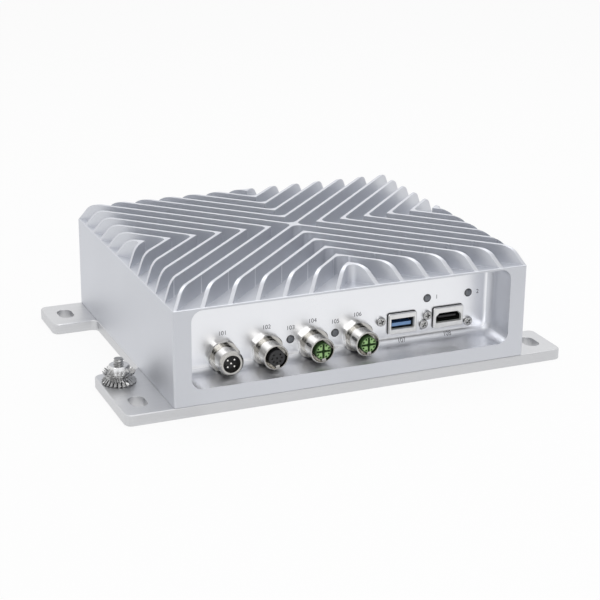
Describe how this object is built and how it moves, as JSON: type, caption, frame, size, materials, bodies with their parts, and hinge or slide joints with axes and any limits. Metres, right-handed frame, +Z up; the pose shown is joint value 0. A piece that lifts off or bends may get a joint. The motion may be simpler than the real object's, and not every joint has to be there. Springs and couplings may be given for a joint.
{
  "type": "edge ai computer",
  "caption": "Fanless edge computer: machined aluminium housing with an X-pattern heatsink top, ports in a front recess and an eared base plate with mounting slots.",
  "frame": {"origin": "middle of the base plate's underside", "axes": "+X along the port side to the right, +Y from the port side to the back, +Z up through the fins"},
  "size_m": [0.2398, 0.1626, 0.0649],
  "materials": {
    "housing_aluminium": "bead-blasted satin",
    "plate_aluminium": "fine milled satin",
    "seal_rubber": "matt",
    "screw_steel": "satin",
    "stud_steel": "bright turned",
    "washer_steel": "bright stamped",
    "port_nickel": "nickel plated",
    "insert_black": "moulded",
    "insert_green": "moulded",
    "contact_gold": "gold plated",
    "shield_metal": "plated sheet",
    "frame_black": "moulded",
    "face_metal": "satin plated",
    "tongue_blue": "moulded",
    "tongue_black": "moulded",
    "port_screw_chrome": "bright",
    "lens_smoke": "smoky clear",
    "led_white": "moulded",
    "board_green": "solder mask",
    "pillar_brass": "turned",
    "connector_black": "moulded",
    "chip_black": "moulded",
    "inductor_grey": "pressed powder",
    "capacitor_can": "drawn can",
    "pad_grey": "soft pad",
    "spreader_aluminium": "milled"
  },
  "bodies": {
    "root": {"heatsink_housing": "housing_aluminium", "base_plate": "plate_aluminium", "housing_gasket": "seal_rubber", "port_seals": "seal_rubber", "base_plate_screws": "screw_steel", "port_board_screws": "screw_steel", "carrier_board_screws": "screw_steel", "heat_spreader_screws": "screw_steel", "storage_card_screw": "screw_steel", "ground_stud": "stud_steel", "ground_nut": "stud_steel", "ground_washer_lower": "washer_steel", "ground_washer_upper": "washer_steel", "power_port_shell": "port_nickel", "data_port_shell": "port_nickel", "network_port_1_shell": "port_nickel", "network_port_2_shell": "port_nickel", "port_back_nuts": "port_nickel", "power_port_insert": "insert_black", "data_port_insert": "insert_black", "network_port_1_insert": "insert_green", "network_port_2_insert": "insert_green", "power_port_pins": "contact_gold", "data_port_contacts": "contact_gold", "network_port_1_contacts": "contact_gold", "network_port_2_contacts": "contact_gold", "network_port_1_shield": "shield_metal", "network_port_2_shield": "shield_metal", "usb_port_shell": "shield_metal", "video_port_shell": "shield_metal", "usb_port_frame": "frame_black", "video_port_frame": "frame_black", "usb_port_face": "face_metal", "video_port_face": "face_metal", "usb_port_tongue": "tongue_blue", "video_port_tongue": "tongue_black", "port_screws": "port_screw_chrome", "link_lens_1": "lens_smoke", "link_lens_2": "lens_smoke", "status_lens_left": "lens_smoke", "status_lens_right": "lens_smoke", "indicator_leds": "led_white", "port_board": "board_green", "carrier_board": "board_green", "compute_module_board": "board_green", "storage_card": "board_green", "port_board_pillars": "pillar_brass", "storage_card_pillar": "pillar_brass", "board_link": "connector_black", "compute_module_connector": "connector_black", "storage_card_socket": "connector_black", "processor": "chip_black", "memory_chips": "chip_black", "storage_card_chips": "chip_black", "inductors": "inductor_grey", "capacitors": "capacitor_can", "thermal_pad": "pad_grey", "heat_spreader": "spreader_aluminium"}
  },
  "joints": []
}
